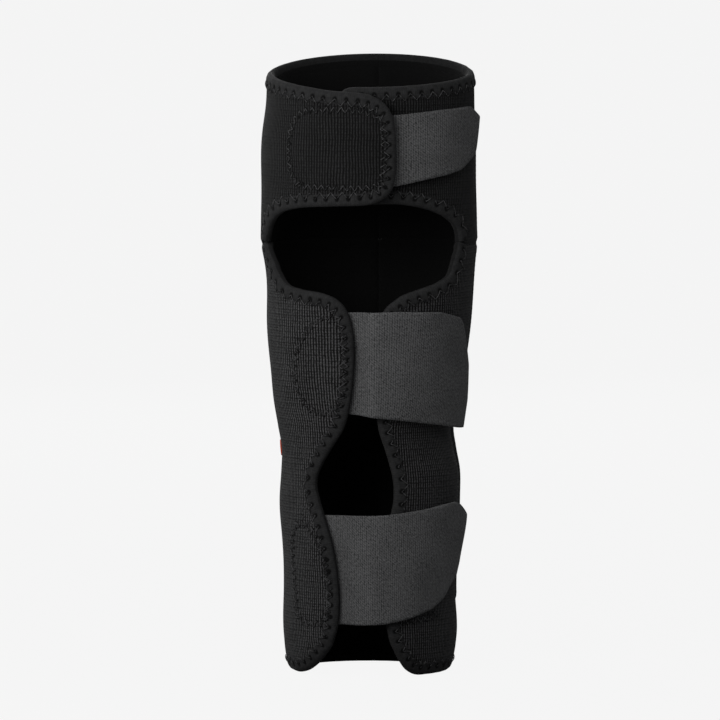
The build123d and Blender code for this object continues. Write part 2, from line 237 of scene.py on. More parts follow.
def within(edge, points):
    """Which points lie inside a closed outline."""
    inside = np.zeros(len(points), bool)
    for a, b in zip(edge, np.roll(edge, -1, axis=0)):
        if a[1] == b[1]:
            continue
        spans = (a[1] > points[:, 1]) != (b[1] > points[:, 1])
        cross = a[0] + (points[:, 1] - a[1]) * (b[0] - a[0]) / (b[1] - a[1])
        inside ^= spans & (points[:, 0] < cross)
    return inside


def slab(name, form, outline, top, bottom, spacing, material, relief=None):
    """A sheet of cloth with thickness, cut to an outline and laid on a form between two offsets."""
    flat, faces = triangles(outline, spacing)
    extra = relief(flat) if relief else 0.0
    upper = form(flat[:, 0], flat[:, 1], top + extra)
    lower = form(flat[:, 0], flat[:, 1], bottom + 0 * flat[:, 0])
    count = len(flat)
    sides = {}
    for face in faces:
        for a, b in zip(face, face[1:] + face[:1]):
            sides[(a, b)] = True
    walls = [(b, a, a + count, b + count) for a, b in sides if (b, a) not in sides]
    under = [tuple(i + count for i in reversed(face)) for face in faces]
    uv = np.vstack([flat, flat]) * (FLAT, 1.0)
    return new_piece(name, np.vstack([upper, lower]), faces + under + walls, material, uv)


# --- Stitches -----------------------------------------------------------------------------------------

PITCH = 4.3
THREAD = 0.14  # radius


def zigzag(form, line, near, far, pitch=PITCH):
    """Needle points of a zigzag between two distances to the left of a line."""
    side, length = beside(form, line)
    at = np.arange(pitch / 2, length[-1] - pitch / 3, pitch / 2)
    angle = np.interp(at, length, line[:, 0])
    height = np.interp(at, length, line[:, 1])
    turn = np.interp(at, length, side[:, 0])
    climb = np.interp(at, length, side[:, 1])
    reach = np.where(np.arange(len(at)) % 2 == 0, near, far)
    return np.column_stack([angle + turn * reach, height + climb * reach])


def thread(name, form, runs, out, material):
    """Zigzag thread through runs of needle points, each leg a thin arched tube."""
    points, faces, flat = [], [], []
    sides, steps = 5, 5
    for needles in runs:
        for a, b in zip(needles, needles[1:]):
            t = np.linspace(0, 1, steps)
            way = a + (b - a) * t[:, None]
            lift = out + 0.34 * np.sin(np.pi * t) - 0.12
            core = form(way[:, 0], way[:, 1], lift)
            above = form(way[:, 0], way[:, 1], lift + 1.0) - core
            run = np.gradient(core, axis=0)
            run /= np.linalg.norm(run, axis=1)[:, None]
            across = np.cross(run, above)
            across /= np.linalg.norm(across, axis=1)[:, None]
            base = len(points)
            for i in range(steps):
                for k in range(sides):
                    turn = 2 * np.pi * k / sides
                    points.append(core[i] + THREAD * (np.cos(turn) * across[i] + np.sin(turn) * above[i]))
                    flat.append((k, i))
            for i in range(steps - 1):
                for k in range(sides):
                    n = (k + 1) % sides
                    a0, a1 = base + i * sides + k, base + i * sides + n
                    faces.append((a0, a1, a1 + sides, a0 + sides))
            faces.append(tuple(base + k for k in reversed(range(sides))))
            faces.append(tuple(base + (steps - 1) * sides + k for k in range(sides)))
    return new_piece(name, points, faces, material, flat)


def pricks(name, form, runs, out, radius):
    """A small dark disc over each needle point, painted shade for the needle hole. It is a single face, not a hole."""
    points, faces = [], []
    for angle, height in np.vstack(runs):
        centre, right, up = (form(angle + a, height + h, out) for a, h in ((0, 0), (1, 0), (0, 1)))
        right, up = (right - centre) / np.linalg.norm(right - centre), (up - centre) / np.linalg.norm(up - centre)
        size = radius * (1 + 0.3 * np.sin(7.1 * angle + 3.3 * height))
        base = len(points)
        for k in range(7):
            turn = 2 * np.pi * k / 7
            points.append(centre + size * (np.cos(turn) * right + np.sin(turn) * up))
        faces.append(tuple(range(base, base + 7)))
    return new_piece(name, points, faces, LINING, np.zeros((len(points), 2)))


def dents(runs, deep, wide):
    """A relief that sinks round each needle point."""
    needles = np.vstack(runs)
    tree = KDTree(len(needles))
    for i, (a, h) in enumerate(needles):
        tree.insert((a * FLAT, h, 0), i)
    tree.balance()

    def relief(flat):
        away = np.array([tree.find((a * FLAT, h, 0))[2] for a, h in flat])
        return -deep * np.exp(-((away / wide) ** 2))

    return relief


# --- Edge bindings ------------------------------------------------------------------------------------


def binding(name, form, line, needles, width=BINDING, thick=WALL):
    """A tape folded over an edge: a closed, puffy profile swept along the edge, pulled in at the needles."""
    half = thick / 2
    face = [  # distance to the fabric's side, height over the middle of the wall
        (width, half - 0.12),
        (width - 0.3, half + 0.04),
        (width - 0.8, half + 0.12),
        (width - 1.4, half + 0.16),
        (width - 2.0, half + 0.2),
        (width - 2.6, half + 0.22),
        (width - 3.2, half + 0.16),
        (width - 3.8, half - 0.02),
        (0.4, half * 0.82),
        (0.0, half * 0.5),
    ]
    profile = face + [(-0.25, 0.0)] + [(s, -n) for s, n in reversed(face)]
    side, length = beside(form, line)
    dent = dents([needles], 0.6, 0.7)
    rings, flats = [], []
    for s, n in profile:
        wave = 0.22 * np.cos(2 * np.pi * length / PITCH) if s > width - 1 else 0.0
        reach = s + wave
        spot = line + side * np.reshape(reach, (-1, 1)) if np.ndim(reach) else line + side * reach
        press = dent(spot) if n > 0 and s > 0.5 else 0.0
        puff = 0.1 * np.sin(length * 0.9) * np.sin(length * 0.23 + 1)
        rings.append(form(spot[:, 0], spot[:, 1], n - half + press + (puff if abs(n) < half else 0)))
        flats.append(np.column_stack([length, np.full(len(length), s + (0 if n > 0 else 20))]))
    points = np.stack(rings, 1).reshape(-1, 3)
    flat = np.stack(flats, 1).reshape(-1, 2)
    count, around = len(line), len(profile)
    faces = []
    for i in range(count - 1):
        for k in range(around):
            n = (k + 1) % around
            faces.append((i * around + k, (i + 1) * around + k, (i + 1) * around + n, i * around + n))
    faces.append(tuple(range(around)))
    faces.append(tuple(reversed(range((count - 1) * around, count * around))))
    piece = new_piece(name, points, faces, TAPE_CLOTH, flat)
    # Painted shade: the tape's inner half takes the dark lining cloth, so the inside of the sleeve reads dark.
    piece.data.materials.append(LINING)
    inner = np.zeros(len(piece.data.polygons), int)
    inner[: (count - 1) * around] = np.tile(np.arange(around) > len(face) + 4, count - 1)
    piece.data.polygons.foreach_set("material_index", inner)
    return piece


# --- Materials ----------------------------------------------------------------------------------------


class Field:
    """A value that varies over a surface. Arithmetic on it adds Math nodes."""

    def __init__(self, finish, socket):
        self.finish, self.socket = finish, socket

    def math(self, operation, *others):
        made = self.finish.node("ShaderNodeMath", {"operation": operation}, [self, *others])
        return Field(self.finish, made.outputs[0])

    def __add__(self, other):
        return self.math("ADD", other)

    def __mul__(self, other):
        return self.math("MULTIPLY", other)

    def __sub__(self, other):
        return self.math("SUBTRACT", other)

    def __rsub__(self, other):
        return (self * -1.0).math("ADD", other)

    def __truediv__(self, other):
        return self.math("DIVIDE", other)

    def __pow__(self, other):
        return self.math("POWER", other)

    __radd__, __rmul__ = __add__, __mul__

    def sin(self):
        return self.math("SINE")

    def clamp(self):
        return self.math("MAXIMUM", 0.0).math("MINIMUM", 1.0)


class Finish:
    """A material built of nodes."""

    def __init__(self, name):
        self.material = bpy.data.materials.new(name)
        self.material.use_nodes = True
        self.tree = self.material.node_tree
        self.tree.nodes.clear()

    def node(self, kind, settings=None, inputs=()):
        """Adds a node: settings are its properties, inputs its sockets' values or links."""
        made = self.tree.nodes.new(kind)
        for key, value in (settings or {}).items():
            setattr(made, key, value)
        pairs = inputs.items() if isinstance(inputs, dict) else enumerate(inputs)
        for key, value in pairs:
            if isinstance(value, Field):
                value = value.socket
            if isinstance(value, bpy.types.NodeSocket):
                self.tree.links.new(value, made.inputs[key])
            else:
                made.inputs[key].default_value = value
        return made

    def flat(self):
        """The cloth's own place, across and up, in millimetres."""
        uv = self.node("ShaderNodeUVMap", {"uv_map": "flat"}).outputs[0]
        split = self.node("ShaderNodeSeparateXYZ", inputs=[uv])
        return uv, Field(self, split.outputs[0]), Field(self, split.outputs[1])

    def noise(self, vector, scale, detail=2.0, roughness=0.5):
        made = self.node("ShaderNodeTexNoise", inputs={
            "Vector": vector, "Scale": scale, "Detail": detail, "Roughness": roughness,
        })
        return Field(self, made.outputs["Fac"])

    def mix(self, factor, dark, light):
        """A colour between two, by a varying factor."""
        made = self.node("ShaderNodeMix", {"data_type": "RGBA"}, {0: factor, 6: (*dark, 1.0), 7: (*light, 1.0)})
        return made.outputs[2]

    def surface(self, colour, roughness, height=None, depth=0.0, **plain):
        """The shader. height is the relief, and depth how deep it is in millimetres."""
        inputs = {"Base Color": colour, "Roughness": roughness}
        if height is not None:
            bump = self.node("ShaderNodeBump", inputs={"Strength": 1.0, "Distance": depth * MM, "Height": height})
            inputs["Normal"] = bump.outputs[0]
        inputs.update(plain)
        shader = self.node("ShaderNodeBsdfPrincipled", inputs=inputs)
        self.node("ShaderNodeOutputMaterial", inputs=[shader.outputs[0]])
        return self.material


TURN = 2 * np.pi
SHEEN = {"Sheen Weight": 0.02, "Sheen Roughness": 0.5, "Specular IOR Level": 0.12}


def knit(name, dark, light, rib=1.06, course=1.01):
    """Ribbed knit: upright ribs crossed by fainter courses."""
    finish = Finish(name)
    uv, across, up = finish.flat()
    drift = finish.noise(uv, 0.09) * 1.2
    ribs = ((across + drift) * (TURN / rib)).sin() * 0.5 + 0.5
    loops = ((up + finish.noise(uv, 0.5) * 0.4) * (TURN / course)).sin() * 0.5 + 0.5
    pairs = ((up + finish.noise(uv, 0.3) * 0.5) * (TURN / course / 2)).sin() * 0.5 + 0.5
    fuzz = finish.noise(uv, 1.4, 3.0, 0.75)
    height = ribs * (0.6 + 0.25 * loops + 0.15 * pairs) * 0.8 + fuzz * 0.45
    patchy = finish.noise(uv, 0.12, 3.0)
    weave = ribs**2.2 * (0.22 + 0.53 * loops + 0.25 * pairs)
    grain = finish.noise(uv, 1.25, 3.0, 0.8)
    uneven = ((grain - 0.5) * 6.0 + 1.7).math("MAXIMUM", 0.15)
    bright = (weave * uneven + (fuzz - 0.5) * 1.6 + (grain - 0.5) * 0.9 + (patchy - 0.5) * 0.5 - 0.03).clamp()
    return finish.surface(finish.mix(bright, dark, light), 0.9, height, 0.35, **SHEEN)


def tape(name, dark, light):
    """The binding's fine jersey, pricked where the needle went through, with painted shade in the needle holes, in the
    notches at the far needle points and in a band along its outer edge.
    """
    finish = Finish(name)
    uv, along, across = finish.flat()
    fuzz = finish.noise(uv, 2.2, 3.0, 0.7)
    stretch = finish.noise(uv, 0.7, 2.0)
    lines = (along * (TURN / 0.8)).sin() * 0.5 + 0.5
    height = lines * 0.2 + fuzz * 0.5 + stretch * 0.6
    bright = (fuzz * 0.7 + stretch * 0.6 + lines * 0.1 - 0.25).clamp()
    # Painted shade: the tape darkens in round spots at the needle holes, in small notches at the far needle points and
    # in a band along its outer edge.
    step = (along / PITCH - 0.5).math("FRACT")
    side = (step.math("MINIMUM", 1.0 - step)) * PITCH
    hole = (1.1 - (side**2.0 + ((across - 2.7) * 0.75) ** 2.0).math("SQRT")) * 2.4
    step_far = (along / PITCH).math("FRACT")
    side_far = (step_far.math("MINIMUM", 1.0 - step_far)) * PITCH
    notch_shade = (0.8 - (side_far**2.0 + (across - 4.9) ** 2.0).math("SQRT")) * 2.0
    cut = ((across - 4.1) * 1.6).clamp() * (30.0 - across).clamp()
    shade = 1.0 - (hole.clamp() * 0.95 + notch_shade.clamp() * 0.9 + cut * 0.55).clamp()
    return finish.surface(finish.mix(bright * shade, dark, light), 0.92, height, 0.16, **SHEEN)


def loop_tape(name, dark, light):
    """Elastic loop tape: fine ribs across the strap under a brushed pile."""
    finish = Finish(name)
    uv, along, across = finish.flat()
    ribs = (along * (TURN / 0.8) + finish.noise(uv, 0.9) * 1.8).sin() * 0.5 + 0.5
    picks = ((across + along * 0.8) * (TURN / 0.95) + finish.noise(uv, 0.8) * 2.0).sin() * 0.5 + 0.5
    pile = finish.noise(uv, 1.25, 4.0, 0.8)
    patchy = finish.noise(uv, 0.1, 2.0)
    height = ribs * 0.35 + picks * 0.2 + pile * 1.0
    bright = (0.5 + (ribs - 0.5) * 0.34 + (picks - 0.5) * 0.22 + (pile - 0.5) * 2.6 + (patchy - 0.5) * 0.4).clamp()
    return finish.surface(finish.mix(bright, dark, light), 0.88, height, 0.2, **SHEEN)


def plain_cloth(name, dark, light, grain=2.0):
    """A plain brushed cloth."""
    finish = Finish(name)
    uv, _, _ = finish.flat()
    fuzz = finish.noise(uv, grain, 3.0, 0.7)
    return finish.surface(finish.mix(fuzz, dark, light), 0.95, fuzz, 0.15, **SHEEN)


def solid(name, dark, light, roughness, grain, depth, contrast=1.0, **plain):
    """A surface with a fine grain set by place."""
    finish = Finish(name)
    place = finish.node("ShaderNodeTexCoord").outputs["Object"]
    spread = finish.node("ShaderNodeMapping", inputs={"Vector": place, "Scale": grain}).outputs[0]
    speck = finish.noise(spread, 1.0, 3.0, 0.6)
    bright = ((speck - 0.5) * contrast + 0.5).clamp()
    return finish.surface(finish.mix(bright, dark, light), roughness + (speck - 0.5) * 0.2, speck, depth, **plain)


# Painted light and shade: the first two knits are one cloth, the first a lit copy for the left forearm, which faces
# the key lamp, the second a shaded copy for the right forearm and the pocket.
KNIT = knit("ribbed_knit", (0.0006, 0.0006, 0.0006), (0.056, 0.056, 0.0568))
SHADED_KNIT = knit("ribbed_knit_shaded", (0.0006, 0.0006, 0.0006), (0.04, 0.04, 0.0406))
HAND_KNIT = knit("hand_knit", (0.0006, 0.0006, 0.0006), (0.016, 0.016, 0.0163), 0.95)
LINING = plain_cloth("lining", (0.0006, 0.0006, 0.0006), (0.0018, 0.0018, 0.0018))
TAPE_CLOTH = tape("binding_tape", (0.0008, 0.0008, 0.0008), (0.028, 0.028, 0.0286))
LOOP = loop_tape("loop_tape", (0.015, 0.015, 0.0152), (0.098, 0.098, 0.099))
# The thread is mostly dark with sparse bright specks: painted glints.
GLINT_YARN = solid("thread", (0.003, 0.003, 0.003), (0.046, 0.046, 0.047), 0.65, (700, 700, 700), 0.02, 7.0, **SHEEN)

METAL = solid("bar_metal", (0.55, 0.56, 0.57), (0.7, 0.71, 0.72), 0.35, (900, 900, 60), 0.02, Metallic=1.0)
PLASTIC = solid("dipped_plastic", (0.02, 0.02, 0.021), (0.05, 0.05, 0.052), 0.55, (700, 700, 700), 0.02)
SPRING = solid("spring_strip", (0.5, 0.5, 0.47), (0.62, 0.62, 0.58), 0.4, (300, 300, 40), 0.02)
HOOKS = solid("hook_sheet", (0.006, 0.006, 0.006), (0.05, 0.05, 0.05), 0.7, (1900, 1900, 1900), 0.25)
CHANNEL = plain_cloth("channel_tape", (0.004, 0.004, 0.004), (0.022, 0.022, 0.0225), 1.5)
TAB = plain_cloth("tab_cloth", (0.30, 0.035, 0.012), (0.52, 0.07, 0.025), 1.6)

# --- Outlines -----------------------------------------------------------------------------------------

left_edge = through([
    (-72, 0.0), (-61, -0.1), (-52, 0.5), (-44, 1.7), (-36, 3.9), (-28.8, 6.9), (-22, 11.0), (-17.6, 17.5), (-16.4, 24),
    (-16.6, 31), (-18.0, 40.1), (-21.2, 49.1), (-26.6, 58.1), (-32.6, 67.2), (-32.4, 72.7), (-25.5, 80.1), (-14.6, 88.8),
    (-9.8, 95.1), (-6.4, 104.3), (-4.8, 115.4), (-5.2, 124.6), (-8.2, 132.4), (-14.4, 137.0), (-24.1, 139.2),
    (-38, 140.2), (-50.8, 141.8), (-59.2, 145.6), (-66.8, 152.3), (-72.0, 157.0),
])
right_edge = through([
    (63.2, 157.5), (60.9, 153.2), (56, 146), (46.6, 142.9), (37.7, 141.3), (25.3, 138.9), (19.5, 136.7),
    (13.6, 133.2), (9.8, 126), (8.4, 114), (9.2, 100), (11.8, 90.4), (17.6, 80.5), (21.4, 71.3), (21.8, 64),
    (19.4, 56.7), (16.8, 45), (16.0, 32), (17.9, 16.5), (23.0, 8.9), (29.0, 4.1), (35, 1.5), (43, 0.1), (54, 0.0),
])
brow = through([
    (-72.0, 157.0), (-64.8, 163.4), (-52.5, 168.2), (-35.8, 170.6), (-11.1, 171.5), (5.3, 172), (21.7, 172),
    (39.6, 169.9), (54.1, 166.2), (61.2, 162.4), (63.2, 157.5),
])
brow_right = brow[brow[:, 0] > -12]
flap_brow = through([
    (-72.0, 157.0), (-64.8, 163.4), (-52.5, 168.2), (-35.8, 170.6), (-15, 171.5), (2, 172.0), (9, 172.8),
    (14.3, 174.6), (18.1, 177.5), (20.3, 181.9), (20.7, 189.2), (20.1, 200.1), (18.4, 204.5), (14.1, 208.6),
    (5.9, 211.5), (-4.9, 212.5), (-16.1, 212.9), (-34.9, 214.4), (-56.0, 216.1), (-75, 217.4), (-90, rim(-90.0)),
])
FAR = 180.0
hem_left = np.array([(-FAR, 0.0), (-72, 0.0)])
hem_right = np.array([(54, 0.0), (FAR, 0.0)])


def joined(*lines):
    """Lines end to end, without doubled points."""
    whole = [lines[0]]
    for line in lines[1:]:
        skip = 1 if np.allclose(whole[-1][-1], line[0], atol=0.3) else 0
        whole.append(line[skip:])
    return np.vstack(whole)


left_forearm_edge = evenly(joined(hem_left, left_edge), 0.5)
right_forearm_edge = evenly(joined(right_edge, hem_right), 0.5)
left_hand_edge = evenly(joined(flap_brow, along_rim(-90, -FAR)), 0.5)
band_end = through([(-4, rim(-4.0)), (-8, rim(-8.0, 0.5)), (-10.8, rim(-11.0, 2.0)), (-11.8, rim(-12.0, 6.0))])
right_rim = evenly(joined(along_rim(FAR, -4), band_end), 0.5)
brow_right = evenly(brow_right, 0.5)


def inset(form, line, by):
    """A line moved to its left."""
    side, _ = beside(form, line)
    return line + side * by


COVERED = 1.4  # the cloth ends this far inside its binding
left_forearm_cut = joined(inset(sleeve, left_forearm_edge, COVERED), np.array([(-80, SEAM), (-FAR, SEAM)]))
right_forearm_cut = joined(inset(sleeve, right_forearm_edge, COVERED), np.array([(FAR, SEAM), (70, SEAM)]))
left_hand_cut = joined(np.array([(-FAR, SEAM), (-80, SEAM)]), inset(flap, left_hand_edge, COVERED))
right_hand_cut = joined(
    inset(sleeve, brow_right, COVERED), np.array([(70, SEAM), (FAR, SEAM)]), inset(sleeve, right_rim, COVERED)
)

# --- Sewn patches on the left flaps -------------------------------------------------------------------


OVERRUN = 28  # points by which a closed stitch line passes its own start, as a sewer's does


def closed(points, spacing=0.5):
    """A smooth closed flat line through a few points, sewn a little way over its start."""
    line = through([points[-1], *points, points[0], points[1]], 0.1)
    half = len(line) // 2
    away = np.abs(line - points[0]).sum(1)
    start, end = np.argmin(away[:half]), half + np.argmin(away[half:])
    return evenly(line[start : end + OVERRUN], spacing)


hand_patch = closed([
    (-36, 179.5), (-15, 178.2), (5, 178.4), (12.0, 180.5), (13.5, 190), (12.5, 201.5), (4, 205.6), (-15, 206.3),
    (-33, 205), (-40, 199), (-41.5, 189),
])
wrist_patch = closed([
    (-36, 97.5), (-22, 95.6), (-12, 100.5), (-9.5, 113), (-11, 127), (-20, 131), (-30, 127.5), (-40, 119), (-44, 107),
])
forearm_patch = closed([
    (-50, 22), (-36, 18.5), (-25, 21), (-22.5, 33), (-28, 46), (-38, 54), (-52, 53), (-57, 40),
])
right_patch = through([(28, 20.2), (44, 20.6), (62, 22.5)], 0.5)

stitch = {
    "left_forearm": [
        zigzag(sleeve, left_forearm_edge, 2.5, 5.0),
        zigzag(sleeve, wrist_patch, -1.0, 1.0, 2.8),
        zigzag(sleeve, forearm_patch, -1.0, 1.0, 2.8),
    ],
    "right_forearm": [
        zigzag(sleeve, right_forearm_edge, 2.5, 5.0),
        zigzag(sleeve, right_patch, -1.0, 1.0, 2.8),
    ],
    "left_hand": [
        zigzag(flap, left_hand_edge, 2.5, 5.0),
        zigzag(flap, hand_patch, -1.0, 1.0, 2.8),
    ],
    "right_hand": [zigzag(sleeve, brow_right, 2.5, 5.0), zigzag(sleeve, right_rim, 2.5, 5.0)],
}
FINE = 0.7  # cloth mesh spacing


def flat_area(outline):
    """The area of a flat cut, in square metres."""
    u, v = outline[:, 0] * FLAT, outline[:, 1]
    return abs(np.dot(u, np.roll(v, -1)) - np.dot(v, np.roll(u, -1))) / 2 * MM * MM


def declare(outline):
    """Works out the size and area of a cloth piece's cut, and does nothing more with them."""
    size = np.ptp(outline * (FLAT, 1.0), axis=0) * MM
    area = min(flat_area(outline), size[0] * size[1])


BEND = {  # where a left half leaves the sleeve's body, and where it belongs to its flap
    "left_forearm": ("forearm_flap", (0, -0.0085, 0), (0, -0.0180, 0)),
    "left_hand": ("hand_flap", (0, -0.0085, 0), (0, -0.0185, 0)),
}
NODES = {  # cloth, lining and binding nodes that each part of the wrap stands for
    "left_forearm": ("forearm_flap_panel", "forearm_flap_lining", "forearm_flap_binding"),
    "right_forearm": ("forearm_panel", "forearm_lining", "forearm_binding"),
    "left_hand": ("hand_flap_panel", "hand_flap_lining", "hand_flap_binding"),
    "right_hand": ("hand_band", "hand_lining", "hand_binding"),
}
EDGES = {
    "left_forearm": (left_forearm_edge,),
    "right_forearm": (right_forearm_edge,),
    "left_hand": (left_hand_edge,),
    "right_hand": (brow_right, right_rim),
}
CUTS = {
    "left_forearm": left_forearm_cut,
    "right_forearm": right_forearm_cut,
    "left_hand": left_hand_cut,
    "right_hand": right_hand_cut,
}


def attach(piece, part):
    """Lets a piece of the wrap ride on the sleeve; a piece of a left half only has its place baked into its mesh."""
    if part in BEND:
        body, start, end = BEND[part]
        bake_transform(piece)
        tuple(start)
        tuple(end)
    else:
        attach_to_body(piece, "sleeve")


for part, cut in CUTS.items():
    form = flap if part == "left_hand" else sleeve
    panel_node, lining_node, binding_node = NODES[part]
    # The forearm halves take lit and shaded copies of one knit: painted light and shade.
    knitted = {"left_forearm": KNIT, "right_forearm": SHADED_KNIT}.get(part, HAND_KNIT)
    cloth = slab(f"{part}_cloth", form, cut, 0.0, -LAMINATE, FINE, knitted, dents(stitch[part], 0.28, 0.8))
    backing = slab(f"{part}_lining", form, cut, -LAMINATE - 0.02, -WALL, 2.4, LINING)
    yarn = thread(f"{part}_stitches", form, stitch[part], 0.26, GLINT_YARN)
    edge_runs = len(EDGES[part])
    # Dark discs at the needle points: painted shade for the needle holes.
    hole_shade = pricks(f"{part}_needle_hole_shade", form, [run[::2] for run in stitch[part][:edge_runs]], 0.1, 0.5)
    trims = [hole_shade]
    if stitch[part][edge_runs:]:
        trims.append(pricks(f"{part}_patch_hole_shade", form, stitch[part][edge_runs:], -0.05, 0.36))
    for number, line in enumerate(EDGES[part]):
        name = f"{part}_binding" if number == 0 else f"{part}_rim_binding"
        trims.append(binding(name, form, line, np.vstack(stitch[part])))
    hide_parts(panel_node)
    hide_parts(lining_node)
    for piece, slot in ((cloth, "knit"), (backing, "lining"), (yarn, "binding")):
        attach(piece, part)
    for piece in trims:
        if "binding" in piece.name:
            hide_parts(binding_node)
        attach(piece, part)
    declare(cut)
    declare(cut)

# --- Straps -------------------------------------------------------------------------------------------

# Each strap: its flap's body, its height over the skin inside the flap, the angles between which it climbs
# out, where it starts and ends to peel, and its outline from the sewn end round.
INSIDE = -WALL - TAPE
STRAPS = {
    "hand_strap": (
        "hand_flap", 0.75, 19, 24, (0.0148, 0, 0), (0.0235, 0, 0),
        [
            (6, 177.6), (19.6, 178.7), (37.3, 181), (50, 182.3), (62, 184), (73, 188.1), (77.5, 190.5), (81, 197),
            (84, 202.8), (79, 204.2), (71, 206.7), (43, 205.7), (20, 204.3), (6, 203.8),
        ],
    ),
    "wrist_strap": (
        "forearm_flap", INSIDE, -3.5, 9.5, (0.0065, 0, 0), (0.0155, 0, 0),
        [
            (-38, 96.5), (-9, 95.2), (23, 93.4), (50, 91.3), (76, 89.3), (82, 89.2), (88, 99), (85, 112), (78, 119.6),
            (70, 127.7), (65, 130.1), (47, 132.5), (22, 133.0), (0, 132.5), (-38, 131.9),
        ],
    ),
    "forearm_strap": (
        "forearm_flap", INSIDE, -17, 13, (0.0085, 0, 0), (0.0175, 0, 0),
        [
            (-48, 19.4), (-25, 18.6), (-2.5, 18.7), (14.5, 19.3), (32, 21.2), (50, 24.3), (61.5, 27.8), (68, 31.6),
            (77, 35.6), (81, 40), (86, 50), (89, 57), (75, 61.4), (70, 62.5), (57, 61.9), (39, 60.4), (14.5, 58.8),
            (-5.5, 58.4), (-48, 58.0),
        ],
    ),
}
STRAP_OVER = 0.75  # a strap's inner face over the skin
HOOKS_FROM, HOOKS_SHARE = 45, 0.88  # the angle where the hooks begin, and their share of the strap's end
TAUT = np.array([  # height, and half width of the right side that a strap bridges without following each hollow
    (10.0, 30.4), (25.0, 30.7), (40.0, 31.4), (57.0, 32.7), (75.0, 32.2), (89.0, 32.0), (105.0, 33.4), (120.0, 34.6),
    (135.0, 36.6), (175.0, 38.0), (190.0, 38.1), (210.0, 38.1),
])


def strap_form(inner, leave, land):
    """The path of a strap: inside its flap, out through the gap, and round the right side."""

    def form(angle, height, out=0.0):
        t = np.clip((angle - leave) / (land - leave), 0, 1)
        base = inner + (STRAP_OVER - inner) * t * t * (3 - 2 * t)
        lift = 0.8 * np.clip((angle - 62) / 26, 0, 1) ** 1.5  # the free end springs off a little
        points = skin(angle, height, base + lift + out, 0.0, 0.6)
        right = np.clip((angle - 20) / 40, 0, 1)
        width = smooth(height, 1) + smooth(height, 3)
        points[..., 0] += (smooth(height, 1, TAUT) - width) * np.sin(np.radians(angle)) * right
        return points

    return form


for name, (body, inner, leave, land, start, stop, outline) in STRAPS.items():
    outline = np.array(outline, float)
    strap = slab(name + "_tape", strap_form(inner, leave, land), outline, TAPE, 0.0, 1.0, LOOP)
    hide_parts(name, name + "_root")
    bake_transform(strap)
    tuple(start)
    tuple(stop)
    declare(outline)
    patch = outline[(outline[:, 0] > HOOKS_FROM) & (outline[:, 0] < 95)]
    patch = patch.mean(0) + (patch - patch.mean(0)) * HOOKS_SHARE
    hook = slab(name + "_hook_sheet", strap_form(inner, leave, land), patch, -0.02, -0.6, 1.6, HOOKS)
    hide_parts(name + "_hook")
    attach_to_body(hook, name)
    declare(patch)

# --- Palm side: pocket, channels, tab -----------------------------------------------------------------

POCKET_LOW, POCKET_HIGH, POCKET_HALF = 12.0, 202.0, 15.3
POCKET_FACE = 34.7  # its outer face


def palm(across, height, out=0.0):
    """The pocket's face over the palm stay: flat over the stay, and down to the skin at its sewn margin."""
    across, height = np.broadcast_arrays(np.asarray(across, float), np.asarray(height, float))
    width, depth = smooth(height, 1), smooth(height, 2)
    skin_y = BACK - depth + depth * np.sqrt(1 - (across / width) ** 2) + 0.25
    side = np.clip((POCKET_HALF - 0.6 - np.abs(across)) / 2.2, 0, 1)
    foot = np.clip((height - POCKET_LOW - 1.2) / 3.0, 0, 1)
    rise = side * side * (3 - 2 * side) * foot * foot * (3 - 2 * foot)
    slack = 0.18 * np.sin(height * 0.21) * np.sin(height * 0.057 + 2)
    y = skin_y + (POCKET_FACE + slack * rise - skin_y) * rise + out
    return np.stack([across, y, height], -1)


def palm_cloth(name, half, low, high, material, thick):
    """A rectangle of cloth with rounded lower corners, laid over the palm stay."""
    across = np.linspace(-half, half, 75)
    up = np.linspace(0, 1, 150)
    lift = 4.0 * (1 - np.sqrt(1 - np.clip((np.abs(across) - half + 4.0) / 4.0, 0, 1) ** 2))
    grid_x = np.repeat(across[None], len(up), 0)
    grid_z = low + lift + (high - low - lift) * up[:, None]
    upper = palm(grid_x, grid_z, 0.0).reshape(-1, 3)
    under = palm(grid_x, grid_z, -thick).reshape(-1, 3)
    flat = np.column_stack([grid_x.ravel(), grid_z.ravel()])
    wide, count = len(across), len(upper)
    faces = []
    for j in range(len(up) - 1):
        for i in range(wide - 1):
            a = j * wide + i
            faces.append((a + 1, a, a + wide, a + wide + 1))
            faces.append((count + a, count + a + 1, count + a + wide + 1, count + a + wide))
    ring = [*range(wide), *range(2 * wide - 1, count, wide)]
    ring += [*range(count - 2, count - wide - 1, -1), *range(count - 2 * wide, 0, -wide)]
    faces += [(a, b, b + count, a + count) for a, b in zip(ring, ring[1:] + ring[:1])]
    return new_piece(name, np.vstack([upper, under]), faces, material, np.vstack([flat, flat]))


def seam(form, line, stitch_length=2.2, gap=0.7):
    """A running stitch along a line: pairs of needle points."""
    _, length = beside(form, line)
    starts = np.arange(0.5, length[-1] - stitch_length, stitch_length + gap)
    ends = starts + stitch_length
    at = [
        np.column_stack([np.interp(v, length, line[:, 0]), np.interp(v, length, line[:, 1])])
        for v in (starts, ends)
    ]
    return [np.array(pair) for pair in zip(*at)]


